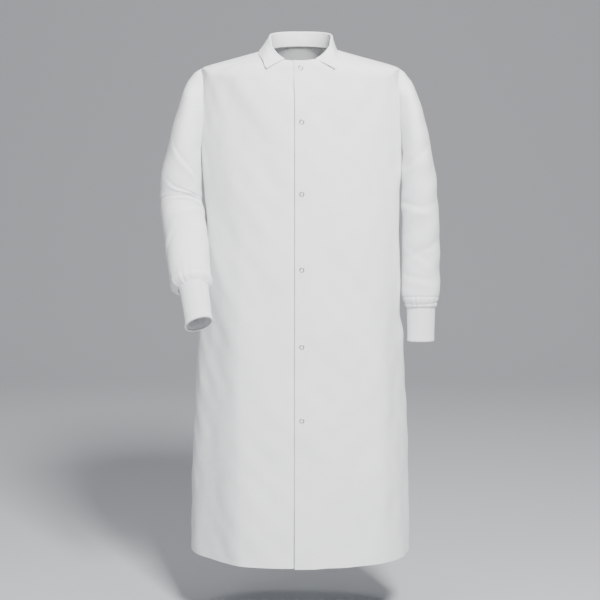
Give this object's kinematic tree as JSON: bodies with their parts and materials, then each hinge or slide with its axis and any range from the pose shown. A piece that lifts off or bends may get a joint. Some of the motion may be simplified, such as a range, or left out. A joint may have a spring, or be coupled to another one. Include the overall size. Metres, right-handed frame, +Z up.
{
  "type": "lab coat",
  "caption": "Long white lab coat with a turned-down collar, a snap front, set-in sleeves and ribbed knit cuffs, hanging as if worn.",
  "frame": {"origin": "middle of the neck opening, on the mid plane between front and back, where a hanger's hook or the wearer's neck passes", "axes": "+Z up, the front faces -Y, the wearer's left is +X"},
  "size_m": [0.6728, 0.4058, 1.2733],
  "materials": {
    "cloth": "plain-weave poly-cotton, matt, bleached white",
    "knit": "fine rib knit, matt, white",
    "snap_metal": "pale enamelled steel"
  },
  "bodies": {
    "shell": {"back_panel": "cloth", "top_collar": "cloth", "collar_interlining": "cloth", "under_collar": "cloth", "left_side_front": "cloth", "left_fold_strip": "cloth", "left_sleeve_head": "cloth", "right_side_front": "cloth", "right_fold_strip": "cloth", "right_sleeve_head": "cloth"},
    "left_flap": {"left_front": "cloth", "left_facing": "cloth", "snap_ring_1": "snap_metal", "snap_ring_2": "snap_metal", "snap_ring_3": "snap_metal", "snap_ring_4": "snap_metal", "snap_ring_5": "snap_metal", "snap_ring_6": "snap_metal", "snap_socket_1": "snap_metal", "snap_socket_2": "snap_metal", "snap_socket_3": "snap_metal", "snap_socket_4": "snap_metal", "snap_socket_5": "snap_metal", "snap_socket_6": "snap_metal"},
    "right_flap": {"right_front": "cloth", "right_facing": "cloth", "snap_stud_1": "snap_metal", "snap_stud_2": "snap_metal", "snap_stud_3": "snap_metal", "snap_stud_4": "snap_metal", "snap_stud_5": "snap_metal", "snap_stud_6": "snap_metal", "snap_back_1": "snap_metal", "snap_back_2": "snap_metal", "snap_back_3": "snap_metal", "snap_back_4": "snap_metal", "snap_back_5": "snap_metal", "snap_back_6": "snap_metal"},
    "left_arm": {"left_upper_sleeve": "cloth", "left_elbow": "cloth"},
    "right_arm": {"right_upper_sleeve": "cloth", "right_elbow": "cloth"},
    "left_forearm": {"left_lower_sleeve": "cloth", "left_cuff": "knit"},
    "right_forearm": {"right_lower_sleeve": "cloth", "right_cuff": "knit"}
  },
  "joints": [
    {"name": "left_front_open", "type": "hinge", "parent": "shell", "child": "left_flap", "pos_m": [0.04, -0.112, -0.015], "axis": [-0.0707, 0.0449, 0.9965], "range_deg": [0, 120], "deforming": ["left_fold_strip"]},
    {"name": "right_front_open", "type": "hinge", "parent": "shell", "child": "right_flap", "pos_m": [-0.04, -0.112, -0.015], "axis": [0.0707, 0.0449, 0.9965], "range_deg": [-41, 0], "deforming": ["right_fold_strip"]},
    {"name": "left_shoulder_swing", "type": "hinge", "parent": "shell", "child": "left_arm", "pos_m": [0.232, 0, -0.1], "axis": [0, -1, 0], "range_deg": [0, 60], "deforming": ["left_sleeve_head"]},
    {"name": "right_shoulder_swing", "type": "hinge", "parent": "shell", "child": "right_arm", "pos_m": [-0.232, 0, -0.1], "axis": [0, 1, 0], "range_deg": [0, 60], "deforming": ["right_sleeve_head"]},
    {"name": "left_elbow_bend", "type": "hinge", "parent": "left_arm", "child": "left_forearm", "pos_m": [0.29, 0, -0.345], "axis": [-1, 0, 0], "range_deg": [-5, 85], "deforming": ["left_elbow"]},
    {"name": "right_elbow_bend", "type": "hinge", "parent": "right_arm", "child": "right_forearm", "pos_m": [-0.29, 0, -0.345], "axis": [-0.9659, -0.2588, 0], "range_deg": [-37, 53], "deforming": ["right_elbow"]}
  ],
  "couplings": [
    {"joint": "right_front_open", "follows": "left_front_open", "ratio": -0.34}
  ]
}
